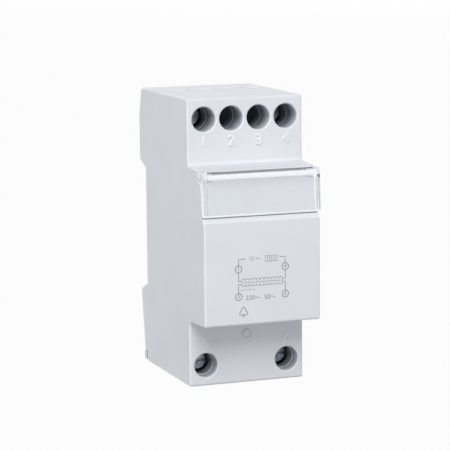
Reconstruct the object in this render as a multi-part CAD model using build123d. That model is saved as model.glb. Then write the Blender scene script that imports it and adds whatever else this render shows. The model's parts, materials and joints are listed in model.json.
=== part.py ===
from build123d import *
from collections import namedtuple
from math import cos, pi, sin
import os

# Two-module bell transformer for a 35 mm mounting rail, in millimetres.
# The origin is the middle of the rail seat. X runs along the rail, Y points from the
# front of the case towards the wall, and Z points up.

# Case
body_width = 35.6
body_top = 42.2
body_bottom = 42.3
face_depth = 38.8
nose_projection = 13.5
nose_top = 22.3
nose_bottom = 22.25
nose_draft = 0.7
wall = 1.6
front_radius = 0.7
hollow_radius = 0.8
side_edge = 0.35
gate_drop = 5.3
gate_ring = 1.6
gate_disc = 1.0
gate_pip = 0.35
gate_depth = 0.3

# Rail slot and back of the case
rail_height = 35.0
rail_thickness = 1.0
rail_clearance = 0.3
slot_flare = 2.2
slot_relief = 0.2
rear_projection = 5.3
rear_land = 2.8
rear_taper = 2.7
top_slope_depth = 2.1
top_slope_height = 8.0
hook_overlap = 1.5
hook_land = 1.3
seat_step = 0.3
seat_margin = 0.4

# Rear base
base_wall = 1.8
base_gap = 0.15
rear_inset = 0.2
snap_height = 0.5
snap_width = 1.0
snap_length = 9.0
snap_gap = 0.15
core_post_width = 1.6
core_post_spread = 6.0

# Rail latch
latch_width = 16.0
latch_thickness = 2.4
latch_travel = 3.5
latch_gap = 0.2
latch_slit = 0.8
foot_height = 2.6
foot_depth = 2.2
foot_radius = 0.9
foot_side_gap = 0.1
foot_floor_gap = 0.4
pull_slot_width = 6.0
pull_slot_depth = 1.1
guide_wall = 1.5
guide_lip = 1.0
guide_top_gap = 2.0
guide_length = 15.0
nub_height = 0.5
nub_length = 1.2
beam_slot = 1.0
beam_width = 1.5
spring_diameter = 2.4
spring_wire = 0.4
spring_turns = 5
spring_steps = 12
spring_sides = 6
spring_length = 8.0
spring_gap = 0.15
spring_end_gap = 0.05
spring_skin = 0.65
spring_stop = 1.6
spring_view = 1.3

# Label cover on the upper nose
cover_height = 12.9
cover_rise = 0.1
cover_gap = 0.55
foot_groove = 0.8
cover_lean = 0.8
cover_proud = 0.7
cover_panel = 0.8
cover_side = 1.1
cover_rim = 0.6
cover_top_round = 0.6
cover_foot_round = 0.3
cover_seat_gap = 0.15
bar_drop = 0.8
bar_height = 1.7
bar_proud = 0.4
bar_round = 0.6
bar_foot_round = 0.3
ledge_setback = 1.2
ledge_lean = 1.75
lip_setback = 2.0
lip_edge = 0.2
lip_round = 0.08
lip_root = 0.7
pivot_setback = 3.1
pivot_drop = 1.6
lug_radius = 1.5
lug_gap = 0.25
lug_rear_gap = 0.3
boss_radius = 1.4
pin_diameter = 1.3
pin_length = 1.2
pin_gap = 0.05
hinge_block = 2.0

# Terminal rows
barrier = 1.4
hole_inset = 6.1
hole_web = 1.2
hole_mouth = 0.3
tunnel_step = 0.3
tunnel_lip = 3.6
tunnel_wall = 0.95
chamber_half = 4.5
chamber_floor = 1.2
barrier_rear_gap = 3.0
upper_head_depth = 11.9
lower_head_depth = 8.2
head_gap = 0.65
wire_web = 2.25
wire_mouth = 0.4

# Terminal hardware
screw_diameter = 3.5
head_side_gap = 0.3
head_height = 2.3
shank_length = 9.9
tip_gap = 0.1
recess_width = 0.9
slot_depth = 1.0
cross_length = 3.2
cross_depth = 1.4
thread_gap = 0.06
cage_gap = 0.3
cage_wall = 0.9
cage_nut = 1.9
cage_floor = 1.2
cage_height = 7.0
cage_corner = 0.7
nut_gap = 0.3
wire_gap = 4.8
bar_thickness = 1.2
bar_side_gap = 0.2
bar_overrun = 3.2
tag_length = 3.9

# Transformer
core_front_rib = 7.9
core_rear_post = 7.0
core_gap = 0.15
limb_width = 6.5
stack_thickness = 17.0
core_rib = 1.4
core_rib_gap = 0.15
core_rib_end_gap = 4.0
front_rib_width = 1.5
front_rib_spread = 5.0
rivet_hole = 3.2
bobbin_gap = 0.2
bobbin_wall = 1.0
flange = 1.0
flange_wall_gap = 0.9
flange_core_gap = 0.3
winding_margin = 0.7
winding_radius = 2.5
wrap_thickness = 0.35
primary_share = 0.58
lead_diameter = 1.4
lead_sides = 8
lead_bend = 2.0

# Places that follow from the sizes above
inner_half = body_width / 2 - wall
face_y = -face_depth
nose_y = face_y - nose_projection
slot_half = rail_height / 2 + rail_clearance
slot_mouth = slot_half + slot_flare
foot_bottom = body_bottom - foot_floor_gap
foot_top = foot_bottom - foot_height
hook_tip = rail_height / 2 - hook_overlap
seat_half = hook_tip - seat_margin
hook_front = rail_thickness + rail_clearance
base_half = inner_half - base_gap
floor_front = -seat_step - base_wall
latch_front = hook_front
latch_rear = latch_front + latch_thickness
lower_plate_rear = latch_front - latch_gap
lower_plate_front = lower_plate_rear - base_wall
upper_plate_rear = rear_projection - rear_inset
upper_plate_front = upper_plate_rear - base_wall
foot_front = latch_front
slit_y = foot_front - latch_slit
guide_top = -slot_mouth - guide_top_gap
guide_bottom = guide_top - guide_length
nub_z = (guide_top + guide_bottom + latch_travel) / 2
spring_y = latch_rear - spring_skin - spring_gap - spring_diameter / 2
spring_top = guide_top
stop_top = spring_top - spring_length

cover_top = nose_top + cover_rise
cover_bottom = cover_top - cover_height
ledge_bottom = cover_bottom - cover_gap
ledge_back = nose_y + ledge_setback + ledge_lean
lip_y = nose_y + lip_setback
bar_top = cover_top - bar_drop
bar_bottom = bar_top - bar_height
cover_bottom_y = nose_y - cover_proud
pivot_y = nose_y + pivot_setback
pivot_z = nose_top - pivot_drop
lug_inside = body_width / 2 - cover_side
pocket_inside = lug_inside - lug_gap

pitch = (2 * inner_half + barrier) / 4
hole_diameter = pitch - hole_web
tunnel_diameter = hole_diameter - 2 * tunnel_step
head_diameter = tunnel_diameter - 2 * head_side_gap
wire_hole = pitch - wire_web
cage_width = pitch - barrier - 2 * cage_gap
bar_width = cage_width - 2 * cage_wall - 2 * bar_side_gap
cage_length = cage_nut + nut_gap + bar_thickness + wire_gap + cage_floor

core_half = min(nose_top, nose_bottom) - wall - core_gap
core_front = nose_y + wall + core_front_rib
core_rear = floor_front - core_rear_post
window_front = core_front + limb_width
window_rear = core_rear - limb_width
window_half = core_half - limb_width
bobbin_front = window_front + flange_core_gap
bobbin_rear = window_rear - flange_core_gap
flange_half_x = inner_half - flange_wall_gap
flange_half_z = window_half - bobbin_gap
tube_half_x = stack_thickness / 2 + bobbin_gap + bobbin_wall
tube_half_z = limb_width + bobbin_gap + bobbin_wall
winding_half_x = flange_half_x - winding_margin
winding_half_z = flange_half_z - winding_margin
chambers = bobbin_rear - bobbin_front - 3 * flange
divider_front = bobbin_rear - flange - primary_share * chambers - flange

# The fitted terminals: number, column in steps of the pitch, row (+1 top, -1 bottom), screw head depth
Terminal = namedtuple("Terminal", "number column row head_depth")
terminals = [
    Terminal(1, -1.5, 1, upper_head_depth),
    Terminal(4, 1.5, 1, upper_head_depth),
    Terminal(5, -1.5, -1, lower_head_depth),
    Terminal(6, 1.5, -1, lower_head_depth),
]
row_columns = {1: (-1.5, -0.5, 0.5, 1.5), -1: (-1.5, 1.5)}
row_barriers = {1: (-1, 0, 1), -1: (-1, 1)}
row_head_depth = {1: upper_head_depth, -1: lower_head_depth}


def screw_z(row):
    return body_top - hole_inset if row > 0 else hole_inset - body_bottom


def floor_z(row):
    """The face of a terminal chamber's floor that looks at the screws."""
    return screw_z(row) - row * chamber_half


def bar_front(row):
    return face_y + row_head_depth[row] + head_height + shank_length + tip_gap


def wire_y(row):
    return bar_front(row) + bar_thickness + wire_gap / 2


def shelf_z(y):
    """Height of the drafted shelf on top of the nose."""
    return nose_top + nose_draft * (y - nose_y) / nose_projection


def block(x_range, y_range, z_range):
    """A box between pairs of limits, in any order."""
    spans = [sorted(limits) for limits in (x_range, y_range, z_range)]
    size = [high - low for low, high in spans]
    middle = [(high + low) / 2 for low, high in spans]
    return Pos(*middle) * Box(*size)


def side_prism(sketch, width):
    """A YZ outline drawn out evenly to both sides of the middle plane."""
    return extrude(Plane.YZ * sketch, width / 2, both=True)


def outline(points):
    return make_face(Polyline(*points, close=True))


def round_corner(sketch, corner, radius):
    vertex = sketch.vertices().sort_by_distance(Vector(*corner))[0]
    return fillet(vertex, radius)


def y_prism(sketch, y_start, y_end):
    """A sketch symmetric about both axes drawn out along Y."""
    plane = Plane(origin=(0, y_start, 0), x_dir=(1, 0, 0), z_dir=(0, 1, 0))
    return extrude(plane * sketch, y_end - y_start)


def y_revolve(profile, x, z):
    """A profile of (radius, y) points turned about an axis along Y."""
    turned = revolve(outline(profile), Axis.Y)
    return Pos(x, 0, z) * turned


def case_outline():
    """The side view of the case, without the lip over the label cover."""
    return outline([
        (face_y, body_top),
        (face_y, shelf_z(face_y)),
        (ledge_back, shelf_z(ledge_back)),
        (nose_y + ledge_setback, ledge_bottom),
        (nose_y, ledge_bottom - ledge_setback),
        (nose_y, -nose_bottom),
        (face_y, -nose_bottom - nose_draft),
        (face_y, -body_bottom),
        (slit_y, -body_bottom),
        (slit_y, -foot_top),
        (rear_projection - rear_taper, -foot_top),
        (rear_projection, -slot_mouth - rear_land),
        (rear_projection, -slot_mouth),
        (-slot_relief, -slot_half),
        (-slot_relief, slot_half),
        (rear_projection, slot_mouth),
        (rear_projection, body_top - top_slope_height),
        (rear_projection - top_slope_depth, body_top),
    ])


def soften_case(sketch):
    """Small rounds on the edges that run across the case."""
    rounds = [
        ((face_y, body_top), front_radius),
        ((face_y, shelf_z(face_y)), hollow_radius),
        ((nose_y, -nose_bottom), front_radius),
        ((face_y, -nose_bottom - nose_draft), hollow_radius),
        ((face_y, -body_bottom), front_radius),
        ((rear_projection - top_slope_depth, body_top), front_radius),
        ((rear_projection, body_top - top_slope_height), front_radius),
        ((rear_projection, slot_mouth), front_radius),
        ((rear_projection, -slot_mouth), front_radius),
        ((nose_y, ledge_bottom - ledge_setback), side_edge),
    ]
    for corner, radius in rounds:
        sketch = round_corner(sketch, corner, radius)
    return sketch


def tunnel_tool(column, row):
    """The stepped bore that a screwdriver goes down, with its softened mouth."""
    depth = row_head_depth[row] - head_gap
    wide = hole_diameter / 2
    narrow = tunnel_diameter / 2
    step_y = face_y + depth - tunnel_lip
    profile = [
        (0, face_y - 1),
        (wide + hole_mouth, face_y - 1),
        (wide + hole_mouth, face_y),
        (wide, face_y + hole_mouth),
        (wide, step_y),
        (narrow, step_y),
        (narrow, face_y + depth + 1),
        (0, face_y + depth + 1),
    ]
    return y_revolve(profile, column * pitch, screw_z(row))


def wire_entry_tool(column, row):
    """The hole that a wire goes in by, with its widened mouth."""
    surface = body_top if row > 0 else -body_bottom
    radius = wire_hole / 2
    hole = Cylinder(radius, 2 * wall + 2)
    mouth = Pos(0, 0, -row * wire_mouth / 2) * Cone(
        radius if row > 0 else radius + wire_mouth,
        radius + wire_mouth if row > 0 else radius,
        wire_mouth,
    )
    return Pos(column * pitch, wire_y(row), surface) * (hole + mouth)


def terminal_row(row):
    """Screw tunnels, chamber floor and barriers of one row, before they are bored."""
    depth = row_head_depth[row] - head_gap
    z_screw = screw_z(row)
    z_floor = floor_z(row)
    z_roof = row * (body_top if row > 0 else body_bottom) - row * wall / 2
    tube_radius = hole_diameter / 2 + tunnel_wall
    parts = block(
        (-inner_half - wall / 2, inner_half + wall / 2),
        (face_y + wall / 2, bar_front(row)),
        (z_floor, z_floor - row * chamber_floor),
    )
    for column in row_columns[row]:
        tube = extrude(Plane.XZ * Circle(tube_radius), -(depth - wall / 2))
        parts += Pos(column * pitch, face_y + wall / 2, z_screw) * tube
    for column in row_barriers[row]:
        x_mid = column * pitch
        parts += block(
            (x_mid - barrier / 2, x_mid + barrier / 2),
            (face_y + wall / 2, bar_front(row)),
            (z_floor, z_roof),
        )
        parts += block(
            (x_mid - barrier / 2, x_mid + barrier / 2),
            (bar_front(row), -barrier_rear_gap),
            (z_floor + row * base_gap, z_roof),
        )
    return parts


def core_cradle():
    """Ribs on the case walls that guide and stop the core."""
    rib_end = bobbin_rear - core_rib_end_gap
    rib_z = core_half - limb_width / 2
    parts = None
    for side in (-1, 1):
        for level in (-1, 1):
            rib = block(
                (side * (stack_thickness / 2 + core_rib_gap), side * (inner_half + wall / 2)),
                (nose_y + wall + core_front_rib / 2, rib_end),
                (level * rib_z - core_rib / 2, level * rib_z + core_rib / 2),
            )
            parts = rib if parts is None else parts + rib
        x_stop = side * front_rib_spread
        parts += block(
            (x_stop - front_rib_width / 2, x_stop + front_rib_width / 2),
            (nose_y + wall / 2, core_front),
            (-nose_bottom + wall, ledge_bottom - ledge_setback),
        )
    return parts


def shelf_lip():
    """Thin lip that carries the shelf forward over the top of the label cover."""
    tip_z = shelf_z(lip_y)
    root_z = shelf_z(ledge_back) - lip_root
    rear_y = ledge_back + lip_root
    sketch = outline([
        (lip_y, tip_z),
        (lip_y, tip_z - lip_edge),
        (ledge_y(root_z), root_z),
        (rear_y, root_z),
        (rear_y, shelf_z(rear_y)),
    ])
    for corner_z in (tip_z, tip_z - lip_edge):
        sketch = round_corner(sketch, (lip_y, corner_z), lip_round)
    return side_prism(sketch, 2 * pocket_inside)


def gate_tool():
    """Round witness mark of the moulding gate: a ring groove about a disc with a small pip."""
    ring = [
        (gate_disc, face_y - 1),
        (gate_ring, face_y - 1),
        (gate_ring, face_y),
        (gate_ring - gate_depth, face_y + gate_depth),
        (gate_disc, face_y + gate_depth),
    ]
    pip = [(0, face_y - 1), (gate_pip, face_y - 1), (gate_pip, face_y), (0, face_y + gate_depth)]
    z_mid = -nose_bottom - gate_drop
    return y_revolve(ring, 0, z_mid) + y_revolve(pip, 0, z_mid)


def make_front_housing():
    sharp = case_outline()
    outer = side_prism(soften_case(sharp), body_width)
    rims = outer.faces().filter_by(Axis.X).edges()
    outer = chamfer(rims, side_edge)
    cavity = offset(sharp, amount=-wall, kind=Kind.INTERSECTION)
    rear_room = outline([
        (face_y + wall, body_top - wall),
        (face_y + wall, wall - body_bottom),
        (rear_projection + wall, wall - body_bottom),
        (rear_projection + wall, body_top - wall),
    ])
    housing = outer - side_prism(cavity + rear_room, 2 * inner_half)
    housing += terminal_row(1)
    housing += terminal_row(-1)
    housing += core_cradle()
    housing += shelf_lip()
    housing -= gate_tool()
    housing -= block(
        (-body_width, body_width),
        (nose_y, ledge_y(cover_bottom) + foot_groove),
        (ledge_bottom, cover_bottom),
    )
    for side in (-1, 1):
        corner = block(
            (side * (pocket_inside - hinge_block), side * body_width / 2),
            (nose_y, pivot_y + 2 * lug_radius),
            (pivot_z - 2 * lug_radius, shelf_z(face_y)),
        )
        housing += outer & corner
        boss = Rot(0, 90, 0) * Cylinder(boss_radius, hinge_block)
        housing += Pos(side * (pocket_inside - hinge_block / 2), pivot_y, pivot_z) * boss
        housing -= block(
            (side * pocket_inside, side * body_width),
            (nose_y - wall, pivot_y + lug_radius + lug_rear_gap),
            (pivot_z - lug_radius - lug_gap, shelf_z(face_y)),
        )
        pin_hole = Cylinder(pin_diameter / 2 + pin_gap, 2 * (pin_length + lug_gap + pin_gap))
        housing -= Pos(side * pocket_inside, pivot_y, pivot_z) * Rot(0, 90, 0) * pin_hole
        for z_snap, y_snap in snap_places():
            housing -= block(
                (0, side * (base_half + snap_height + snap_gap)),
                (y_snap - snap_width / 2 - snap_gap, y_snap + snap_width / 2 + snap_gap),
                (z_snap - snap_length / 2 - snap_gap, z_snap + snap_length / 2 + snap_gap),
            )
    for row, columns in row_columns.items():
        for column in columns:
            housing -= tunnel_tool(column, row)
            housing -= wire_entry_tool(column, row)
    return housing


def snap_places():
    """Height and depth of the snap ridges on the edges of the base."""
    upper_z = (slot_mouth + body_top - top_slope_height) / 2
    lower_z = -(slot_mouth + body_bottom) / 2
    upper_y = (upper_plate_front + upper_plate_rear) / 2
    lower_y = (lower_plate_front + lower_plate_rear) / 2
    return [(upper_z, upper_y), (lower_z, lower_y)]


def base_outline():
    """The side view of the base: closing plate, fixed hook, rail seat and latch plate."""
    top_z = body_top - wall - base_gap
    bottom_z = -(body_bottom - wall - base_gap)
    slope_z = body_top - top_slope_height - rear_inset
    slope_run = top_slope_depth * (top_z - slope_z) / top_slope_height
    groove = slot_half + rail_clearance
    return outline([
        (upper_plate_rear - slope_run, top_z),
        (upper_plate_rear, slope_z),
        (upper_plate_rear, slot_mouth - rear_inset),
        (hook_front + hook_land, hook_tip),
        (hook_front, hook_tip),
        (hook_front, groove),
        (-seat_step, groove),
        (-seat_step, seat_half),
        (0, seat_half),
        (0, -seat_half),
        (-seat_step, -seat_half),
        (-seat_step, -groove),
        (lower_plate_rear, -groove),
        (lower_plate_rear, bottom_z),
        (lower_plate_front, bottom_z),
        (lower_plate_front, -groove - base_wall),
        (floor_front, -groove - base_wall),
        (floor_front, groove + base_wall),
        (upper_plate_front, groove + base_wall),
        (upper_plate_front, slope_z),
        (upper_plate_front - slope_run, top_z),
    ])


def latch_guides():
    """Two rails that hold the edges of the latch, grooved for its nubs."""
    inside = latch_width / 2 + latch_gap
    catch_y = latch_rear + latch_gap
    parts = None
    for side in (-1, 1):
        rail = block(
            (side * inside, side * (inside + guide_wall)),
            (lower_plate_front, catch_y + guide_lip),
            (guide_top, guide_bottom),
        )
        lip = block(
            (side * (inside - guide_lip), side * (inside + guide_wall)),
            (catch_y, catch_y + guide_lip),
            (guide_top, guide_bottom),
        )
        groove = block(
            (side * (inside - guide_lip), side * (inside + nub_height)),
            (latch_front - latch_gap, latch_rear + latch_gap),
            (nub_z + nub_length / 2 + latch_gap, nub_z - latch_travel - nub_length / 2 - latch_gap),
        )
        rail = rail + lip - groove
        parts = rail if parts is None else parts + rail
    return parts


def spring_seat(base):
    """Hollow in the latch plate for the front of the spring, and the stop that it bears on."""
    hollow_half = spring_diameter / 2 + spring_gap
    hollow_front = spring_y - hollow_half
    base -= block(
        (-hollow_half, hollow_half),
        (hollow_front, lower_plate_rear + latch_gap),
        (spring_top + spring_gap, stop_top),
    )
    return base + block(
        (-spring_diameter / 2, spring_diameter / 2),
        (lower_plate_front, latch_rear - spring_skin - spring_gap),
        (stop_top, stop_top - spring_stop),
    )


def make_latch_spring():
    """Compression spring between the stop on the base and the latch, drawn in short straight steps."""
    radius = (spring_diameter - spring_wire) / 2
    height = spring_length - spring_wire - 2 * spring_end_gap
    steps = spring_turns * spring_steps
    turns = [2 * pi * step / spring_steps for step in range(steps + 1)]
    route = Polyline(*[(radius * cos(t), radius * sin(t), height * t / turns[-1]) for t in turns])
    section = Plane(route @ 0, z_dir=route % 0) * RegularPolygon(spring_wire / 2, spring_sides)
    wire = sweep(section, path=route, transition=Transition.RIGHT)
    return Pos(0, spring_y, stop_top + spring_end_gap + spring_wire / 2) * wire


def make_rear_base():
    base = side_prism(base_outline(), 2 * base_half)
    base += latch_guides()
    base = spring_seat(base)
    for side in (-1, 1):
        x_post = side * core_post_spread
        base += block(
            (x_post - core_post_width / 2, x_post + core_post_width / 2),
            (core_rear, floor_front + base_wall / 2),
            (-seat_half, seat_half),
        )
        for z_snap, y_snap in snap_places():
            base += block(
                (side * (base_half - base_wall), side * (base_half + snap_height)),
                (y_snap - snap_width / 2, y_snap + snap_width / 2),
                (z_snap - snap_length / 2, z_snap + snap_length / 2),
            )
    for row, plate in ((1, upper_plate_front), (-1, lower_plate_front)):
        base += block(
            (-base_half, base_half),
            (bar_front(row) + bar_thickness, plate + base_wall / 2),
            (floor_z(row), floor_z(row) - row * chamber_floor),
        )
    return base


def make_rail_latch():
    """Sliding catch: bevelled lip, plate with two springy edge beams, and a full-width pull foot."""
    lip_z = -hook_tip
    plate = side_prism(
        outline([
            (latch_front, lip_z),
            (latch_front + hook_land / 2, lip_z),
            (latch_rear, lip_z - latch_thickness),
            (latch_rear, -foot_top - foot_height / 2),
            (latch_front, -foot_top - foot_height / 2),
        ]),
        latch_width,
    )
    foot_sketch = outline([
        (foot_front, -foot_top - latch_gap),
        (foot_front + foot_depth, -foot_top - latch_gap),
        (foot_front + foot_depth, -foot_bottom),
        (foot_front, -foot_bottom),
    ])
    foot_sketch = round_corner(foot_sketch, (foot_front + foot_depth, -foot_bottom), foot_radius)
    latch = plate + side_prism(foot_sketch, body_width - 2 * foot_side_gap)
    for side in (-1, 1):
        slot_x = latch_width / 2 - beam_width - beam_slot / 2
        latch -= block(
            (side * slot_x - beam_slot / 2, side * slot_x + beam_slot / 2),
            (latch_front - latch_thickness, latch_rear + latch_thickness),
            (guide_top - latch_travel, guide_bottom + latch_travel),
        )
        latch += block(
            (side * (latch_width / 2 - beam_width / 2), side * (latch_width / 2 + nub_height)),
            (latch_front, latch_rear),
            (nub_z - nub_length / 2, nub_z + nub_length / 2),
        )
    channel_half = spring_diameter / 2 + spring_gap
    channel_span = (spring_top + spring_end_gap, stop_top - spring_stop - latch_gap)
    latch -= block(
        (-channel_half, channel_half),
        (latch_front - latch_gap, latch_rear - spring_skin),
        channel_span,
    )
    latch -= block(
        (-spring_view / 2, spring_view / 2),
        (latch_front, latch_rear + latch_gap),
        (spring_top - spring_diameter / 2, channel_span[1]),
    )
    pull_y = foot_front + foot_depth / 2
    latch -= block(
        (-pull_slot_width / 2, pull_slot_width / 2),
        (pull_y - pull_slot_depth / 2, pull_y + pull_slot_depth / 2),
        (-foot_bottom - foot_height, -foot_top - foot_height / 2),
    )
    return latch


def ledge_y(z):
    """Depth of the sloping ledge behind the label cover."""
    share = (z - ledge_bottom) / (shelf_z(ledge_back) - ledge_bottom)
    return nose_y + ledge_setback + ledge_lean * share


def cover_front_y(z):
    share = (z - cover_bottom) / cover_height
    return cover_bottom_y + cover_lean * share


def cover_side_outline():
    """A side wall of the cover, from the leaning front to the round lug at the pivot."""
    lug_foot = pivot_z - lug_radius
    sketch = outline([
        (cover_front_y(cover_bottom), cover_bottom),
        (cover_front_y(cover_top), cover_top),
        (pivot_y, pivot_z + lug_radius),
        (pivot_y, lug_foot),
        (ledge_y(lug_foot) - cover_seat_gap, lug_foot),
        (ledge_y(cover_bottom) - cover_seat_gap, cover_bottom),
    ])
    sketch = round_corner(sketch, (cover_front_y(cover_top), cover_top), cover_top_round)
    sketch = round_corner(sketch, (cover_front_y(cover_bottom), cover_bottom), cover_foot_round)
    return sketch + Pos(pivot_y, pivot_z) * Circle(lug_radius)


def cover_panel_outline():
    """The panel between the side walls, with its thick top bar and its foot rim."""
    rim_top = cover_bottom + cover_rim
    bar_front_y = cover_front_y(bar_top) - bar_proud
    bar_foot = (cover_front_y(bar_bottom) - bar_proud, bar_bottom + bar_proud)
    sketch = outline([
        (cover_front_y(cover_bottom), cover_bottom),
        (cover_front_y(bar_bottom), bar_bottom),
        bar_foot,
        (bar_front_y, bar_top),
        (cover_front_y(bar_top) + cover_panel, bar_top),
        (cover_front_y(rim_top) + cover_panel, rim_top),
        (ledge_y(rim_top) - cover_seat_gap, rim_top),
        (ledge_y(cover_bottom) - cover_seat_gap, cover_bottom),
    ])
    sketch = round_corner(sketch, (bar_front_y, bar_top), bar_round)
    sketch = round_corner(sketch, bar_foot, bar_foot_round)
    return round_corner(sketch, (cover_front_y(cover_bottom), cover_bottom), cover_foot_round)


def make_label_cover():
    """Clear cover: leaning panel between two side walls that end in round lugs with pins."""
    sides = cover_side_outline()
    cover = side_prism(sides, body_width) - side_prism(sides, 2 * lug_inside)
    cover += side_prism(cover_panel_outline(), 2 * lug_inside)
    for side in (-1, 1):
        length = pin_length + lug_gap + cover_side / 2
        pin = Rot(0, 90, 0) * Cylinder(pin_diameter / 2, length)
        x_mid = side * (lug_inside + cover_side / 2 - length / 2)
        cover += Pos(x_mid, pivot_y, pivot_z) * pin
    return cover


def make_terminal_screw(terminal):
    """Flat-headed clamp screw with a slot and a cross recess."""
    top = face_y + terminal.head_depth
    under = top + head_height
    tip = under + shank_length
    head = head_diameter / 2
    shank = screw_diameter / 2
    bevel = head_height / 6
    profile = [
        (0, top),
        (head - bevel, top),
        (head, top + bevel),
        (head, under),
        (shank, under),
        (shank, tip),
        (0, tip),
    ]
    x_mid = terminal.column * pitch
    z_mid = screw_z(terminal.row)
    screw = y_revolve(profile, x_mid, z_mid)
    half = recess_width / 2
    screw -= block(
        (x_mid - head_diameter, x_mid + head_diameter),
        (top - head_height, top + slot_depth),
        (z_mid - half, z_mid + half),
    )
    screw -= block(
        (x_mid - half, x_mid + half),
        (top - head_height, top + cross_depth),
        (z_mid - cross_length / 2, z_mid + cross_length / 2),
    )
    return screw


def make_clamp_cage(terminal):
    """Folded cage, open along Z, with the threaded wall towards the screw head."""
    front = bar_front(terminal.row) - nut_gap - cage_nut
    x_mid = terminal.column * pitch
    z_mid = screw_z(terminal.row)
    middle = Pos(x_mid, front + cage_length / 2, z_mid)
    cage = extrude(RectangleRounded(cage_width, cage_length, cage_corner), cage_height / 2, both=True)
    cage = middle * cage
    cage -= block(
        (x_mid - cage_width / 2 + cage_wall, x_mid + cage_width / 2 - cage_wall),
        (front + cage_nut, front + cage_length - cage_floor),
        (z_mid - cage_height, z_mid + cage_height),
    )
    bore = extrude(Plane.XZ * Circle(screw_diameter / 2 + thread_gap), -2 * cage_nut)
    return cage - Pos(x_mid, front - cage_nut / 2, z_mid) * bore


def bar_end(row):
    return floor_z(row) - row * (chamber_floor + tag_length)


def make_contact_bar(terminal):
    """Flat bar held between the chamber floor and the base, with its tag inside the case."""
    row = terminal.row
    x_mid = terminal.column * pitch
    front = bar_front(row)
    return block(
        (x_mid - bar_width / 2, x_mid + bar_width / 2),
        (front, front + bar_thickness),
        (screw_z(row) + row * bar_overrun, bar_end(row)),
    )


def rivet_tool(y, z):
    return Pos(0, y, z) * Rot(0, 90, 0) * Cylinder(rivet_hole / 2, 2 * stack_thickness)


def make_core_e_stack():
    stack = block(
        (-stack_thickness / 2, stack_thickness / 2),
        (core_front, window_rear),
        (-core_half, core_half),
    )
    for level in (-1, 1):
        stack -= block(
            (-stack_thickness, stack_thickness),
            (window_front, window_rear + limb_width),
            (level * limb_width, level * window_half),
        )
        stack -= rivet_tool(core_front + limb_width / 2, level * (core_half - limb_width / 2))
    return stack


def make_core_i_stack():
    stack = block(
        (-stack_thickness / 2, stack_thickness / 2),
        (window_rear, core_rear),
        (-core_half, core_half),
    )
    for level in (-1, 1):
        stack -= rivet_tool(core_rear - limb_width / 2, level * (core_half - limb_width / 2))
    return stack


def make_coil_bobbin():
    """Rectangular tube with two end flanges and a divider between the chambers."""
    opening = Rectangle(2 * (tube_half_x - bobbin_wall), 2 * (tube_half_z - bobbin_wall))
    tube = Rectangle(2 * tube_half_x, 2 * tube_half_z)
    plate = Rectangle(2 * flange_half_x, 2 * flange_half_z)
    bobbin = y_prism(tube, bobbin_front, bobbin_rear)
    for y_start in (bobbin_front, divider_front, bobbin_rear - flange):
        bobbin += y_prism(plate, y_start, y_start + flange)
    return bobbin - y_prism(opening, bobbin_front, bobbin_rear)


def winding_outline():
    return RectangleRounded(2 * winding_half_x, 2 * winding_half_z, winding_radius)


def make_winding(y_start, y_end):
    inside = Rectangle(2 * tube_half_x, 2 * tube_half_z)
    return y_prism(winding_outline() - inside, y_start, y_end)


def make_wrap(y_start, y_end):
    outside = RectangleRounded(
        2 * (winding_half_x + wrap_thickness),
        2 * (winding_half_z + wrap_thickness),
        winding_radius + wrap_thickness,
    )
    return y_prism(outside - winding_outline(), y_start, y_end)


def make_lead(terminal):
    """Insulated lead from the edge of the rear flange to the tag of the contact bar."""
    row = terminal.row
    x_mid = terminal.column * pitch
    y_flange = bobbin_rear - flange / 2
    y_bar = bar_front(row) + bar_thickness / 2
    z_start = row * flange_half_z
    z_end = bar_end(row)
    third = (z_end - z_start) / 3
    route = FilletPolyline(
        (x_mid, y_flange, z_start),
        (x_mid, y_flange, z_start + third),
        (x_mid, y_bar, z_end - third),
        (x_mid, y_bar, z_end),
        radius=lead_bend,
    )
    section = Plane(route @ 0, z_dir=route % 0) * RegularPolygon(lead_diameter / 2, lead_sides)
    return sweep(section, path=route)


secondary_chamber = (bobbin_front + flange, divider_front)
primary_chamber = (divider_front + flange, bobbin_rear - flange)

nodes = {
    "front_housing": make_front_housing(),
    "rear_base": make_rear_base(),
    "rail_latch": make_rail_latch(),
    "latch_spring": make_latch_spring(),
    "label_cover": make_label_cover(),
    "core_e_stack": make_core_e_stack(),
    "core_i_stack": make_core_i_stack(),
    "coil_bobbin": make_coil_bobbin(),
    "primary_winding": make_winding(*primary_chamber),
    "secondary_winding": make_winding(*secondary_chamber),
    "primary_wrap": make_wrap(*primary_chamber),
    "secondary_wrap": make_wrap(*secondary_chamber),
}
for terminal in terminals:
    nodes[f"terminal_screw_{terminal.number}"] = make_terminal_screw(terminal)
    nodes[f"clamp_cage_{terminal.number}"] = make_clamp_cage(terminal)
    nodes[f"contact_bar_{terminal.number}"] = make_contact_bar(terminal)
    nodes[f"lead_{terminal.number}"] = make_lead(terminal)

os.makedirs("parts", exist_ok=True)
for name, shape in nodes.items():
    export_step(shape, f"parts/{name}.step")
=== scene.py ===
import json
import math

import bmesh
import bpy
from mathutils import Matrix, Vector


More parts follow.
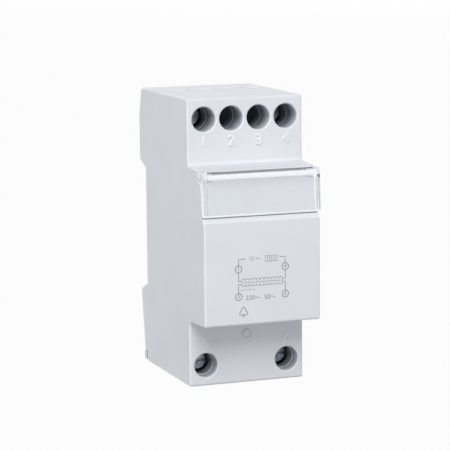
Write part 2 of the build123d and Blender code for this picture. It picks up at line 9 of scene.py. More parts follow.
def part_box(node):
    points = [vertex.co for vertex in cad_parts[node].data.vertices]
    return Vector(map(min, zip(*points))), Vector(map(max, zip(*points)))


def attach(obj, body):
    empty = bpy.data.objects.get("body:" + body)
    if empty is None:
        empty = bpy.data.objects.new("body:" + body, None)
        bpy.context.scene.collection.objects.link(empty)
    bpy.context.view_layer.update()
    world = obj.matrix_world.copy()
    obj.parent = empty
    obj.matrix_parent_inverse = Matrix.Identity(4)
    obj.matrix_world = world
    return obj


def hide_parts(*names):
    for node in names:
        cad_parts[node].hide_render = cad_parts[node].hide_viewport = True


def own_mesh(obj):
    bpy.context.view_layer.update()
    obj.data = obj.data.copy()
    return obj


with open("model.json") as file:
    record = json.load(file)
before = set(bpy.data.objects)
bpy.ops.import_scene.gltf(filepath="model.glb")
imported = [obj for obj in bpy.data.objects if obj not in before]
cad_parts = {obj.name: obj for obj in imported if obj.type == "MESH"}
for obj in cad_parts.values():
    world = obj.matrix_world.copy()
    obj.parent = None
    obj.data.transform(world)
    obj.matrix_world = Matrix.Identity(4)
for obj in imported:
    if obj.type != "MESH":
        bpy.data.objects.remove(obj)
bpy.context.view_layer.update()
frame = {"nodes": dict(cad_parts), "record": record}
nodes = frame["nodes"]
mm = 0.001

# Where the case's front faces lie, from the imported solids
case_low, case_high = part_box("front_housing")
nose_step = 13.5 * mm
nose_face = case_low.y
terminal_face = nose_face + nose_step

# Camera, as fitted to the photograph
view_turn = math.radians(-20.40)
view_rise = math.radians(8.70)
view_roll = math.radians(-0.53)
view_distance = 617.3 * mm
view_right = -6.06 * mm
view_up = 4.63 * mm
view_lens = 168.9
view_sensor = 36.0

# Raised terminal numbers
number_height = 3.0 * mm
number_rise = 0.26 * mm
number_edge = 0.07 * mm
number_bold = 0.03 * mm
number_drop = 6.6 * mm

# Height of a digit as a share of the text size, and steps on round digits and on rounded edges
digit_share = 0.7
digit_steps = 4
rounding_steps = 2

# Outline, opening and middle of the number 4, in shares of the text size
four_outline = (
    (0.471, 0.226), (0.471, 0.310), (0.398, 0.312), (0.398, 0.691), (0.356, 0.691), (0.011, 0.269),
    (0.011, 0.226), (0.300, 0.223), (0.300, 0.000), (0.398, 0.000), (0.398, 0.224),
)
four_opening = ((0.300, 0.313), (0.142, 0.311), (0.300, 0.508))
four_middle = Vector((0.2495, 0.3))

# Printed wiring diagram on the nose
ink_width = 0.24 * mm
thin_ink_width = 0.16 * mm
ink_rise = 0.02 * mm
diagram_middle = Vector((-0.3, -9.85)) * mm
diagram_half = 7.2 * mm
upper_ring_offset = 3.95 * mm
lower_ring_offset = 4.05 * mm
ring_radius = 1.0 * mm
ring_points = 24
ring_number_height = 1.15 * mm
stub_length = 1.9 * mm
stub_legs = {-1: 2.2 * mm, 1: 1.6 * mm}
coil_offset = 0.42 * mm
coil_bumps = 11
coil_half = 6.3 * mm
bump_height = 0.7 * mm
bump_steps = 8

# Printed values beside the diagram: digits, place on the nose and height in millimetres
printed_values = (
    ("12", -3.5, -3.05, 1.1),
    ("230", -3.9, -14.4, 1.35),
    ("50", 1.3, -14.5, 1.35),
)
wave_marks = ((-1.55, -3.05), (-1.6, -14.4), (3.2, -14.5))
wave_half = 0.75 * mm
wave_height = 0.22 * mm
wave_steps = 12
field_middle = Vector((2.7, -3.25)) * mm
field_half = Vector((1.95, 0.85)) * mm
field_bars = 5
rule_start = Vector((-6.7, -12.0)) * mm
rule_dash = 0.6 * mm
rule_spacing = 1.5
rule_count = 5

# Printed bell sign on the nose: its right side and its clapper, in tenths of its height
bell_middle = Vector((-6.05, -18.3)) * mm
bell_height = 3.3 * mm
bell_parts = 10
bell_side = (
    (0.0, 4.6), (1.0, 3.4), (2.1, 1.3), (3.3, -0.6),
    (3.8, -1.7), (3.4, -2.5), (2.2, -2.8), (0.8, -2.6),
)
bell_clapper = ((-0.8, -2.6), (-0.8, -4.4), (0.8, -4.4), (0.8, -2.6))

# Spring of the rail latch
spring_wire = 0.4 * mm
spring_turns = 5
spring_steps = 24

# Painted shade on the plastic in bores, grooves and gaps, with a cool tint painted in bores: reach in
# millimetres, span of openness, and the share left in the closest place
bore_reach = 12.0
bore_span = (0.04, 0.36)
bore_left = 0.16
bore_shade_tint_span = (0.1, 0.5)
bore_shade_tint = (0.84, 0.95, 1.04)
groove_reach = 0.8
groove_span = (0.25, 0.7)
groove_left = 0.78
gap_reach = 2.0
gap_span = (0.1, 0.6)
gap_left = 0.15
open_samples = 8

# Trough between the lip of the shelf and the label cover: where its shade starts and where it is full
trough_half = (16.6 * mm, 16.3 * mm)
trough_depth = (-50.4 * mm, -50.1 * mm)
trough_top = (22.32 * mm, 22.22 * mm)
trough_bottom = (20.9 * mm, 21.5 * mm)
trough_left = 0.72

# Painted highlight on sharp edges: radius in millimetres, how far the surface turns there, and how much paler
# the plastic is painted there
edge_radius = 0.35
edge_turn = (0.995, 0.80)
edge_highlight_gain = 1.27
edge_samples = 6

# Label cover: where its hinge bar and its foot start, how much milky white is mixed into them as a painted
# highlight, and the radius of its edges, which are painted grey as shade
cover_bar = (20.3 * mm, 20.4 * mm)
cover_foot = (10.1 * mm, 10.0 * mm)
cover_highlight_milk = 0.6
cover_edge_radius = 0.2

# Tones of the plastic
case_tone = (0.742, 0.755, 0.780)
base_share = 0.94
latch_share = 0.97
# The raised numbers are painted paler than the case, a painted highlight
number_highlight_share = 1.04
white = (1.0, 1.0, 1.0)

# Studio: light from all round, white behind the object, and the ground
sky_tone = (0.93, 0.97, 1.03)
sky_strength = 0.42
ground_half = 6.0
ground_gap = 0.05 * mm
ground_grain = 60.0
ground_dark = (0.50, 0.50, 0.50)
ground_light = (0.52, 0.52, 0.52)
ground_dull = 0.9
ground_white = 0.95

# Lamps: name, turn and rise in degrees from the front, distance, size and power, and whether gloss shows it
lamps = (
    ("key", -20, 41, 0.9, (0.48, 0.48), 5.15, True),
    ("front_fill", -12, 12, 1.0, (0.5, 0.5), 0.5, True),
    ("left_strip", -85, 6, 0.7, (0.08, 0.7), 1.4, True),
    ("rear_fill", 150, 10, 3.0, (1.5, 1.5), 40.0, False),
)


def start_material(name):
    """A new node material with its tree, its shader and its Object coordinates."""
    material = bpy.data.materials.new(name)
    material.use_nodes = True
    tree = material.node_tree
    shader = tree.nodes["Principled BSDF"]
    place = tree.nodes.new("ShaderNodeTexCoord").outputs["Object"]
    return material, tree, shader, place


def noise(tree, place, grain, detail=2.0):
    """Noise with grains of about that many millimetres."""
    node = tree.nodes.new("ShaderNodeTexNoise")
    node.inputs["Scale"].default_value = 1 / (grain * mm)
    node.inputs["Detail"].default_value = detail
    tree.links.new(place, node.inputs["Vector"])
    return node.outputs["Fac"]


def stretch(tree, place, scale):
    """Object coordinates scaled along each axis."""
    node = tree.nodes.new("ShaderNodeMapping")
    node.inputs["Scale"].default_value = scale
    tree.links.new(place, node.inputs["Vector"])
    return node.outputs["Vector"]


def bands(tree, place, axis, width, waver):
    """Stripes across one axis, each of about that many millimetres."""
    node = tree.nodes.new("ShaderNodeTexWave")
    node.bands_direction = axis
    node.wave_profile = "SIN"
    node.inputs["Scale"].default_value = math.pi / (10 * width * mm)
    node.inputs["Distortion"].default_value = waver
    tree.links.new(place, node.inputs["Vector"])
    return node.outputs["Fac"]


def ramp(tree, value, start, end, low=0.0, high=1.0):
    """A value's span from start to end carried over to low and high, and held there beyond."""
    node = tree.nodes.new("ShaderNodeMapRange")
    node.inputs["From Min"].default_value = start
    node.inputs["From Max"].default_value = end
    node.inputs["To Min"].default_value = low
    node.inputs["To Max"].default_value = high
    tree.links.new(value, node.inputs["Value"])
    return node.outputs["Result"]


def spread(tree, value, low, high):
    """A pattern's usual span of 0.3 to 0.7 spread to low and high."""
    return ramp(tree, value, 0.3, 0.7, low, high)


def blend(tree, share, first, second):
    """A colour between two given ones, led by a share of 0 to 1."""
    node = tree.nodes.new("ShaderNodeMix")
    node.data_type = "RGBA"
    node.inputs["A"].default_value = (*first, 1)
    node.inputs["B"].default_value = (*second, 1)
    tree.links.new(share, node.inputs["Factor"])
    return node.outputs["Result"]


def scaled(tone, share):
    """A tone made darker or lighter by a share."""
    return [channel * share for channel in tone]


def tones(tree, value, dark, light):
    """A colour between two tones, led by a pattern."""
    return blend(tree, spread(tree, value, 0.0, 1.0), dark, light)


def joined(tree, operation, *values):
    """Values or sockets joined one after the other by a math operation."""
    total = values[0]
    for value in values[1:]:
        node = tree.nodes.new("ShaderNodeMath")
        node.operation = operation
        for socket, given in zip(node.inputs, (total, value)):
            if isinstance(given, (int, float)):
                socket.default_value = given
            else:
                tree.links.new(given, socket)
        total = node.outputs["Value"]
    return total


def axes(tree, place):
    """The three separate coordinates of a place."""
    split = tree.nodes.new("ShaderNodeSeparateXYZ")
    tree.links.new(place, split.inputs["Vector"])
    return split.outputs


def dim(tree, colour, share):
    """A colour scaled by a share."""
    node = tree.nodes.new("ShaderNodeVectorMath")
    node.operation = "SCALE"
    tree.links.new(colour, node.inputs[0])
    tree.links.new(share, node.inputs["Scale"])
    return node.outputs["Vector"]


def tinted(tree, colour, tint):
    """A colour multiplied by another one."""
    node = tree.nodes.new("ShaderNodeVectorMath")
    node.operation = "MULTIPLY"
    tree.links.new(colour, node.inputs[0])
    tree.links.new(tint, node.inputs[1])
    return node.outputs["Vector"]


def relief(tree, shader, value, depth, strength, under=None):
    """Bump of that depth in millimetres, over another one if given."""
    node = tree.nodes.new("ShaderNodeBump")
    node.inputs["Distance"].default_value = depth * mm
    node.inputs["Strength"].default_value = strength
    tree.links.new(value, node.inputs["Height"])
    if under is not None:
        tree.links.new(under, node.inputs["Normal"])
    tree.links.new(node.outputs["Normal"], shader.inputs["Normal"])
    return node.outputs["Normal"]


def any_ray(tree, *kinds):
    """1 for a light path of any of the named kinds."""
    path = tree.nodes.new("ShaderNodeLightPath")
    return joined(tree, "MAXIMUM", *(path.outputs[kind] for kind in kinds))


def mixed(tree, share, first, second):
    """A shader between two, led by a share of 0 to 1."""
    node = tree.nodes.new("ShaderNodeMixShader")
    tree.links.new(share, node.inputs["Fac"])
    tree.links.new(first, node.inputs[1])
    tree.links.new(second, node.inputs[2])
    return node.outputs["Shader"]


def open_share(tree, reach, own):
    """How open the surface lies to what is within that reach in millimetres, on its own piece or on any."""
    hollow = tree.nodes.new("ShaderNodeAmbientOcclusion")
    hollow.samples = open_samples
    hollow.only_local = own
    hollow.inputs["Distance"].default_value = reach * mm
    return hollow.outputs["AO"]


def edge_share(tree, radius):
    """Nearly 1 close to sharp edges, 0 on the flats, from how far a rounded edge would turn the surface."""
    soft = tree.nodes.new("ShaderNodeBevel")
    soft.samples = edge_samples
    soft.inputs["Radius"].default_value = radius * mm
    flat = tree.nodes.new("ShaderNodeNewGeometry")
    turn = tree.nodes.new("ShaderNodeVectorMath")
    turn.operation = "DOT_PRODUCT"
    tree.links.new(soft.outputs["Normal"], turn.inputs[0])
    tree.links.new(flat.outputs["Normal"], turn.inputs[1])
    return ramp(tree, turn.outputs["Value"], *edge_turn)


def groove_shade(tree):
    """A share of 1 in the open, falling in small grooves and pits."""
    return ramp(tree, open_share(tree, groove_reach, True), *groove_span, groove_left, 1.0)


def gap_shade(tree):
    """A share of 1 in the open, falling in the narrow gaps between neighbouring pieces."""
    return ramp(tree, open_share(tree, gap_reach, False), *gap_span, gap_left, 1.0)


def lip_shade(tree, place):
    """A share of 1 that falls in the trough between the lip of the shelf and the label cover."""
    x, y, z = axes(tree, place)
    across = ramp(tree, joined(tree, "MULTIPLY", x, x), *(half ** 2 for half in trough_half))
    behind = ramp(tree, y, *trough_depth)
    below = ramp(tree, z, *trough_top)
    above = ramp(tree, z, *trough_bottom)
    trough = joined(tree, "MULTIPLY", across, behind, below, above)
    return ramp(tree, trough, 0.0, 1.0, 1.0, trough_left)


def moulded_plastic(name, tone, gloss, gaps=False):
    """Satin moulded plastic: a slow drift of tone, painted cool shade in bores, painted shade in grooves, in
    the trough under the lip and, if asked, in gaps between pieces, a painted highlight on edges, fine grain,
    uneven gloss.
    """
    material, tree, shader, place = start_material(name)
    dark = scaled(tone, 0.98)
    light = scaled(tone, 1.015)
    drift = tones(tree, noise(tree, place, grain=18.0), dark, light)
    # Painted shade: the colour turns darker and cooler in bores, darker in grooves, in the trough under the
    # lip and, if asked, in gaps between pieces
    openness = open_share(tree, bore_reach, True)
    colour = tinted(tree, drift, blend(tree, ramp(tree, openness, *bore_shade_tint_span), bore_shade_tint, white))
    depth = ramp(tree, openness, *bore_span, bore_left, 1.0)
    # Painted highlight: the plastic is painted paler on sharp edges
    edges = ramp(tree, edge_share(tree, edge_radius), 0.0, 1.0, 1.0, edge_highlight_gain)
    shade = joined(tree, "MULTIPLY", depth, groove_shade(tree), lip_shade(tree, place), edges)
    if gaps:
        shade = joined(tree, "MULTIPLY", shade, gap_shade(tree))
    tree.links.new(dim(tree, colour, shade), shader.inputs["Base Color"])
    sheen = noise(tree, place, grain=2.5, detail=3.0)
    tree.links.new(spread(tree, sheen, low=gloss - 0.04, high=gloss + 0.05), shader.inputs["Roughness"])
    swell = relief(tree, shader, noise(tree, place, grain=6.0), depth=0.05, strength=0.25)
    relief(tree, shader, noise(tree, place, grain=0.2), depth=0.012, strength=0.35, under=swell)
    shader.inputs["IOR"].default_value = 1.5
    shader.inputs["Specular IOR Level"].default_value = 0.35
    return material


def clear_plastic(name):
    """Clear moulded plastic with painted grey shade at its edges and milky white mixed into its hinge bar and
    foot as a painted highlight; it lets the lamps reach the ledge.
    """
    material, tree, shader, place = start_material(name)
    clear = (0.97, 0.98, 0.985)
    # Painted shade: the cover is tinted grey at its edges
    painted_edge_shade = (0.38, 0.40, 0.43)
    tint = blend(tree, edge_share(tree, cover_edge_radius), clear, painted_edge_shade)
    tree.links.new(tint, shader.inputs["Base Color"])
    shader.inputs["Transmission Weight"].default_value = 1.0
    shader.inputs["IOR"].default_value = 1.49
    streaks = noise(tree, stretch(tree, place, scale=(0.3, 1.0, 1.0)), grain=2.0, detail=3.0)
    tree.links.new(spread(tree, streaks, low=0.02, high=0.05), shader.inputs["Roughness"])
    relief(tree, shader, noise(tree, place, grain=5.0), depth=0.02, strength=0.2)
    height = axes(tree, place)["Z"]
    bar = ramp(tree, height, *cover_bar)
    foot = ramp(tree, height, *cover_foot)
    # Painted highlight: milky white mixed into the hinge bar and the foot to make them bright
    highlight_milk = tree.nodes.new("ShaderNodeBsdfDiffuse")
    highlight_milk.inputs["Color"].default_value = (0.96, 0.975, 1.0, 1)
    highlight_share = joined(tree, "MULTIPLY", joined(tree, "MAXIMUM", bar, foot), cover_highlight_milk)
    surface = mixed(tree, highlight_share, shader.outputs["BSDF"], highlight_milk.outputs["BSDF"])
    film = tree.nodes.new("ShaderNodeBsdfTransparent")
    thin_film = (0.965, 0.97, 0.975)
    bar_film = (0.85, 0.85, 0.85)
    tree.links.new(blend(tree, bar, thin_film, bar_film), film.inputs["Color"])
    for kind in ("Is Shadow Ray", "Is Diffuse Ray", "Is Reflection Ray"):
        surface = mixed(tree, any_ray(tree, kind), surface, film.outputs["BSDF"])
    tree.links.new(surface, tree.nodes["Material Output"].inputs["Surface"])
    return material


def plated_metal(name, tone, shine):
    """Zinc-plated or tinned metal: cloudy tone, drawn streaks, fine pitting."""
    material, tree, shader, place = start_material(name)
    dark = scaled(tone, 0.86)
    light = scaled(tone, 1.08)
    clouds = noise(tree, place, grain=0.9, detail=4.0)
    tree.links.new(tones(tree, clouds, dark, light), shader.inputs["Base Color"])
    shader.inputs["Metallic"].default_value = 1.0
    streaks = noise(tree, stretch(tree, place, scale=(1.0, 0.2, 1.0)), grain=0.25, detail=4.0)
    tree.links.new(spread(tree, streaks, low=shine - 0.06, high=shine + 0.1), shader.inputs["Roughness"])
    relief(tree, shader, noise(tree, place, grain=0.12, detail=3.0), depth=0.01, strength=0.4)
    return material


def stacked_sheets(name):
    """Varnished edges of the thin steel sheets of the core, stacked along X."""
    material, tree, shader, place = start_material(name)
    dark = (0.10, 0.085, 0.07)
    light = (0.22, 0.20, 0.18)
    sheets = bands(tree, place, "X", width=0.5, waver=0.3)
    varnish = noise(tree, place, grain=4.0, detail=4.0)
    tree.links.new(tones(tree, varnish, dark, light), shader.inputs["Base Color"])
    shader.inputs["Metallic"].default_value = 0.55
    tree.links.new(spread(tree, varnish, low=0.32, high=0.55), shader.inputs["Roughness"])
    relief(tree, shader, sheets, depth=0.06, strength=0.8)
    return material


def wound_wire(name, tone, wire):
    """Enamelled wire laid turn beside turn along Y."""
    material, tree, shader, place = start_material(name)
    turns = bands(tree, place, "Y", width=wire, waver=0.4)
    # Darker between the turns: painted shade between the wires
    dark = scaled(tone, 0.45)
    tree.links.new(tones(tree, turns, dark, tone), shader.inputs["Base Color"])
    shader.inputs["Metallic"].default_value = 0.85
    enamel = noise(tree, place, grain=1.2, detail=3.0)
    tree.links.new(spread(tree, enamel, low=0.18, high=0.34), shader.inputs["Roughness"])
    relief(tree, shader, turns, depth=wire / 2, strength=0.9)
    return material


def insulating_film(name, tone):
    """Glossy polyester tape with faint wrinkles."""
    material, tree, shader, place = start_material(name)
    creases = noise(tree, stretch(tree, place, scale=(0.4, 1.6, 0.4)), grain=2.2, detail=4.0)
    # Darker in the low parts of the wrinkles: painted shade in the creases
    dark = scaled(tone, 0.8)
    tree.links.new(tones(tree, creases, dark, tone), shader.inputs["Base Color"])
    tree.links.new(spread(tree, creases, low=0.16, high=0.3), shader.inputs["Roughness"])
    relief(tree, shader, creases, depth=0.08, strength=0.5)
    return material


def lead_jacket(name, tone):
    """Soft insulation of a lead, a little uneven and dull."""
    material, tree, shader, place = start_material(name)
    bloom = noise(tree, place, grain=1.5, detail=3.0)
    dark = scaled(tone, 0.8)
    tree.links.new(tones(tree, bloom, dark, tone), shader.inputs["Base Color"])
    tree.links.new(spread(tree, bloom, low=0.4, high=0.55), shader.inputs["Roughness"])
    relief(tree, shader, noise(tree, place, grain=0.3), depth=0.02, strength=0.4)
    return material


def printed_ink(name, tone):
    """Pad-printed ink, thin in places so that the grain of the case shows."""
    material, tree, shader, place = start_material(name)
    cover = noise(tree, place, grain=0.25, detail=3.0)
    light = scaled(tone, 1.35)
    tree.links.new(tones(tree, cover, tone, light), shader.inputs["Base Color"])
    tree.links.new(spread(tree, cover, low=0.45, high=0.6), shader.inputs["Roughness"])
    relief(tree, shader, cover, depth=0.01, strength=0.3)
    return material


finishes = {
    "case_plastic": moulded_plastic("case_plastic", case_tone, gloss=0.5),
    "base_plastic": moulded_plastic("base_plastic", scaled(case_tone, base_share), gloss=0.52, gaps=True),
    "latch_plastic": moulded_plastic("latch_plastic", scaled(case_tone, latch_share), gloss=0.48, gaps=True),
    "clear_plastic": clear_plastic("clear_plastic"),
    "spring_steel": plated_metal("spring_steel", (0.55, 0.55, 0.57), shine=0.25),
    "zinc_steel": plated_metal("zinc_steel", (0.46, 0.51, 0.57), shine=0.22),
    "contact_brass": plated_metal("contact_brass", (0.78, 0.70, 0.50), shine=0.30),
    "core_steel": stacked_sheets("core_steel"),
    "bobbin_plastic": moulded_plastic("bobbin_plastic", (0.03, 0.03, 0.034), gloss=0.38),
    "winding_copper": wound_wire("winding_copper", (0.62, 0.27, 0.12), wire=0.35),
    "wrap_film": insulating_film("wrap_film", (0.80, 0.58, 0.07)),
    "lead_blue": lead_jacket("lead_blue", (0.03, 0.09, 0.36)),
    "lead_brown": lead_jacket("lead_brown", (0.14, 0.055, 0.022)),
}
# Paler copy of the case plastic for the numbers: a painted highlight
number_highlight_plastic = moulded_plastic("number_highlight_plastic", scaled(case_tone, number_highlight_share), gloss=0.36)
print_ink = printed_ink("print_ink", (0.20, 0.21, 0.22))

for part in frame["record"]["subparts"]:
    mesh = nodes[part["node"]].data
    mesh.materials.clear()
    mesh.materials.append(finishes[part["material_slot"]])


def stand_up(face):
    """Turns a drawing on the ground plane to stand on a front face, as seen from the front."""
    return Matrix.Translation((0, face, 0)) @ Matrix.Rotation(math.radians(90), 4, "X")


def finish_drawing(name, drawing, place, material):
    """Makes a mesh of a curve or text, puts its place in the mesh, and rides it on the case."""
    holder = bpy.data.objects.new(name, drawing)
    mesh = bpy.data.meshes.new_from_object(holder)
    bpy.data.objects.remove(holder)
    mesh.transform(place)
    mesh.materials.clear()
    mesh.materials.append(material)
    piece = bpy.data.objects.new(name, mesh)
    bpy.context.scene.collection.objects.link(piece)
    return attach(piece, "case")


def stroke(curve, points, closed=False):
    """Adds one line through flat or solid points to a curve."""
    spline = curve.splines.new("POLY")
    spline.points.add(len(points) - 1)
    for point, place in zip(spline.points, points):
        point.co = (*Vector(place).to_3d(), 1)
    spline.use_cyclic_u = closed


def drawn_four(name, size):
    """The number 4 as a curve: softened edges would close the opening of the text's own."""
    curve = bpy.data.curves.new(name, "CURVE")
    curve.dimensions = "2D"
    curve.fill_mode = "BOTH"
    for corners in (four_outline, four_opening):
        stroke(curve, [(Vector(corner) - four_middle) * size for corner in corners], closed=True)
    return curve


def number_text(name, digits, height):
    """A centred text curve whose digits have that height."""
    size = height / digit_share
    if digits == "4":
        return drawn_four(name, size)
    text = bpy.data.curves.new(name, "FONT")
    text.body = digits
    text.align_x = "CENTER"
    text.align_y = "CENTER"
    text.size = size
    text.resolution_u = digit_steps
    return text


def raised_number(number, x, z):
    """A number moulded on the terminal face, with softened edges."""
    text = number_text(f"number_{number}", str(number), number_height)
    text.extrude = number_rise
    text.offset = number_bold
    text.bevel_depth = number_edge
    text.bevel_resolution = rounding_steps
    place = Matrix.Translation((x, 0, z)) @ stand_up(terminal_face)
    return finish_drawing(f"number_{number}", text, place, number_highlight_plastic)


def screw_middle(number):
    """The middle of a terminal screw, from its solid."""
    low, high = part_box(f"terminal_screw_{number}")
    return (low + high) / 2


def mould_numbers():
    """Numbers 1 to 4 below the upper screw holes, 5 and 6 above the lower ones."""
    first = screw_middle(1)
    last = screw_middle(4)
    for number in (1, 2, 3, 4):
        along = first.lerp(last, (number - 1) / 3)
        raised_number(number, along.x, along.z - number_drop)
    for number in (5, 6):
        along = screw_middle(number)
        raised_number(number, along.x, along.z + number_drop)


def stroke_curve(name, width=ink_width):
    """An empty curve whose strokes come out as round wires of that width."""
    curve = bpy.data.curves.new(name, "CURVE")
    curve.dimensions = "3D"
    curve.bevel_depth = width / 2
    curve.bevel_resolution = rounding_steps
    curve.use_fill_caps = True
    return curve


def arc(middle, radius, start, end, steps):
    """Points on an arc between two angles in degrees."""
    turns = [math.radians(start + (end - start) * k / steps) for k in range(steps + 1)]
    return [(middle[0] + radius * math.cos(t), middle[1] + radius * math.sin(t)) for t in turns]


def print_on_nose(name, curve):
    """Flattens the strokes to a film of ink on the nose."""
    flat = Matrix.Scale(ink_rise / curve.bevel_depth, 4, (0, 0, 1))
    return finish_drawing(name, curve, stand_up(nose_face) @ flat, print_ink)


def coil_row(mid_x, coil_z, level):
    """Scallops of one winding, swelling away from the core."""
    bump = coil_half / coil_bumps
    points = []
    for k in range(coil_bumps):
        middle = mid_x - coil_half + (2 * k + 1) * bump
        for x, z in arc((0, 0), bump, 180, 0, bump_steps):
            points.append((middle + x, coil_z + level * z * bump_height / bump))
    return points


def ring_places():
    """Number, side, level and place of the four rings that stand for the terminals."""
    mid_x, mid_z = diagram_middle
    offsets = {1: upper_ring_offset, -1: -lower_ring_offset}
    for number, side, level in ((1, -1, 1), (4, 1, 1), (5, -1, -1), (6, 1, -1)):
        yield number, side, level, mid_x + side * diagram_half, mid_z + offsets[level]


def draw_diagram():
    """Two windings on a core, each led to two numbered terminals."""
    curve = stroke_curve("wiring_diagram")
    coils = stroke_curve("diagram_coils", thin_ink_width)
    mid_x, mid_z = diagram_middle
    ring_end = 360 - 360 / ring_points
    for number, side, level, ring_x, ring_z in ring_places():
        coil_z = mid_z + level * coil_offset
        coil_end = mid_x + side * coil_half
        stroke(curve, arc((ring_x, ring_z), ring_radius, 0, ring_end, ring_points - 1), closed=True)
        stroke(curve, [(ring_x, ring_z - level * ring_radius), (ring_x, coil_z), (coil_end, coil_z)])
        if level > 0:
            outer = ring_z + ring_radius
            stub_end = outer + stub_length
            stroke(curve, [(ring_x, outer), (ring_x, stub_end), (ring_x - side * stub_legs[side], stub_end)])
    for level in (1, -1):
        stroke(coils, coil_row(mid_x, mid_z + level * coil_offset, level))
    stroke(coils, [(mid_x - coil_half, mid_z), (mid_x + coil_half, mid_z)])
    print_on_nose("diagram_coils", coils)
    print_on_nose("wiring_diagram", curve)


def printed_number(name, digits, x, z, height):
    """A number printed flat on the nose."""
    text = number_text(name, digits, height)
    text.extrude = ink_rise
    place = Matrix.Translation((x, 0, z)) @ stand_up(nose_face)
    return finish_drawing(name, text, place, print_ink)


def draw_numbers():
    """Numbers in the rings, the plain values with the sign for alternating current, and a dashed rule."""
    for number, side, level, x, z in ring_places():
        printed_number(f"diagram_number_{number}", str(number), x, z, ring_number_height)
    for digits, x, z, height in printed_values:
        printed_number(f"value_{digits}", digits, x * mm, z * mm, height * mm)
    curve = stroke_curve("value_marks", thin_ink_width)
    steps = [2 * k / wave_steps - 1 for k in range(wave_steps + 1)]
    wave = [(s * wave_half, math.sin(-s * math.pi) * wave_height) for s in steps]
    for x, z in wave_marks:
        stroke(curve, [(x * mm + a, z * mm + b) for a, b in wave])
    for k in range(rule_count):
        x = rule_start.x + rule_spacing * k * rule_dash
        stroke(curve, [(x, rule_start.y), (x + rule_dash, rule_start.y)])
    print_on_nose("value_marks", curve)


def draw_field():
    """A plain hatched field at the end of the upper lead."""
    curve = stroke_curve("hatched_field", thin_ink_width)
    low = field_middle - field_half
    high = field_middle + field_half
    stroke(curve, [(low.x, low.y), (high.x, low.y), (high.x, high.y), (low.x, high.y)], closed=True)
    for k in range(1, field_bars + 1):
        x = low.x + (high.x - low.x) * k / (field_bars + 1)
        stroke(curve, [(x, low.y), (x, high.y)])
    print_on_nose("hatched_field", curve)


def draw_bell():
    """A plain bell outline with its clapper."""
    curve = stroke_curve("bell_sign")
    x, z = bell_middle
    unit = bell_height / bell_parts
    right_side = [(x + a * unit, z + b * unit) for a, b in bell_side]
    left_side = [(x - a * unit, z + b * unit) for a, b in reversed(bell_side[1:])]
    stroke(curve, right_side + left_side, closed=True)
    stroke(curve, [(x + a * unit, z + b * unit) for a, b in bell_clapper])
    print_on_nose("bell_sign", curve)


def wind_spring():
    """Round wire wound between the base and the latch, in place of the spring's solid, which is hidden."""
    low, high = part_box("latch_spring")
    middle = (low + high) / 2
    radius = (high.x - low.x - spring_wire) / 2
    rise = (high.z - low.z - spring_wire) / spring_turns
    points = []
    for k in range(spring_turns * spring_steps + 1):
        turns = k / spring_steps
        angle = 2 * math.pi * turns
        points.append((radius * math.cos(angle), radius * math.sin(angle), rise * turns))
    curve = stroke_curve("wound_spring", spring_wire)
    stroke(curve, points)
    foot = Vector((middle.x, middle.y, low.z))
    place = Matrix.Translation(foot + Vector((0, 0, spring_wire / 2)))
    spring = finish_drawing("wound_spring", curve, place, finishes["spring_steel"])
    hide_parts("latch_spring")
    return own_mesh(spring)


def from_front(turn, rise):
    """The direction from the object that lies that far round and up from its front, in radians."""
    return Vector((math.sin(turn) * math.cos(rise), -math.cos(turn) * math.cos(rise), math.sin(rise)))


def make_camera():
    """A camera that looks at the object as the photograph does."""
    back = from_front(view_turn, view_rise)
    right = Vector((math.cos(view_turn), math.sin(view_turn), 0))
    up = back.cross(right)
    stand = Vector((0, terminal_face, 0)) + back * view_distance + right * view_right + up * view_up
    level = Matrix((right, up, back)).transposed().to_4x4()
    camera = bpy.data.objects.new("camera", bpy.data.cameras.new("camera"))
    camera.data.lens = view_lens
    camera.data.sensor_width = view_sensor
    camera.matrix_world = Matrix.Translation(stand) @ level @ Matrix.Rotation(view_roll, 4, "Z")
    bpy.context.scene.collection.objects.link(camera)
    bpy.context.scene.camera = camera


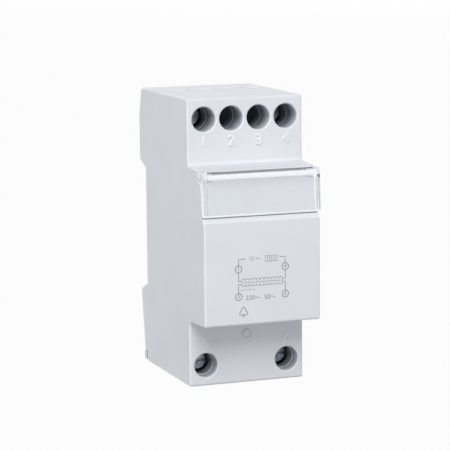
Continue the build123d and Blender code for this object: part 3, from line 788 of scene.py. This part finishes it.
def area_lamp(name, turn, rise, distance, size, power, mirrored):
    """A soft panel that looks at the middle of the object, placed by its direction from the front."""
    data = bpy.data.lights.new(name, "AREA")
    data.shape = "RECTANGLE"
    data.size, data.size_y = size
    data.energy = power
    lamp = bpy.data.objects.new(name, data)
    towards = from_front(math.radians(turn), math.radians(rise))
    middle = (case_low + case_high) / 2
    lamp.location = middle + towards * distance
    lamp.rotation_euler = towards.to_track_quat("Z", "Y").to_euler()
    lamp.visible_glossy = mirrored
    bpy.context.scene.collection.objects.link(lamp)


def seen_rays(tree):
    """What the camera sees, straight, in gloss or through the clear cover."""
    return any_ray(tree, "Is Camera Ray", "Is Glossy Ray", "Is Transmission Ray")


def make_world():
    """Soft light from all round, with white behind the object."""
    world = bpy.data.worlds.new("studio")
    bpy.context.scene.world = world
    world.use_nodes = True
    tree = world.node_tree
    soft = tree.nodes["Background"]
    soft.inputs["Color"].default_value = (*sky_tone, 1)
    soft.inputs["Strength"].default_value = sky_strength
    behind = tree.nodes.new("ShaderNodeBackground")
    behind.inputs["Color"].default_value = (*white, 1)
    behind.inputs["Strength"].default_value = 1.0
    sky = mixed(tree, seen_rays(tree), soft.outputs["Background"], behind.outputs["Background"])
    tree.links.new(sky, tree.nodes["World Output"].inputs["Surface"])


def make_ground():
    """A wide pale floor that keeps the shadow of the object."""
    mesh = bpy.data.meshes.new("ground")
    ground = bpy.data.objects.new("ground", mesh)
    material, tree, shader, place = start_material("ground")
    drift = tones(tree, noise(tree, place, ground_grain), ground_dark, ground_light)
    tree.links.new(drift, shader.inputs["Base Color"])
    shader.inputs["Roughness"].default_value = ground_dull
    glow = tree.nodes.new("ShaderNodeEmission")
    glow.inputs["Strength"].default_value = 1.0
    share = joined(tree, "MULTIPLY", seen_rays(tree), ground_white)
    surface = mixed(tree, share, shader.outputs["BSDF"], glow.outputs["Emission"])
    tree.links.new(surface, tree.nodes["Material Output"].inputs["Surface"])
    sheet = bmesh.new()
    bmesh.ops.create_grid(sheet, x_segments=2, y_segments=2, size=ground_half)
    bmesh.ops.translate(sheet, verts=sheet.verts, vec=(0, 0, case_low.z - ground_gap))
    sheet.to_mesh(mesh)
    sheet.free()
    mesh.materials.append(material)
    bpy.context.scene.collection.objects.link(ground)


mould_numbers()
draw_diagram()
draw_numbers()
draw_field()
draw_bell()
wind_spring()
make_camera()
make_world()
make_ground()
for lamp in lamps:
    area_lamp(*lamp)
bpy.context.scene.view_settings.view_transform = "Standard"
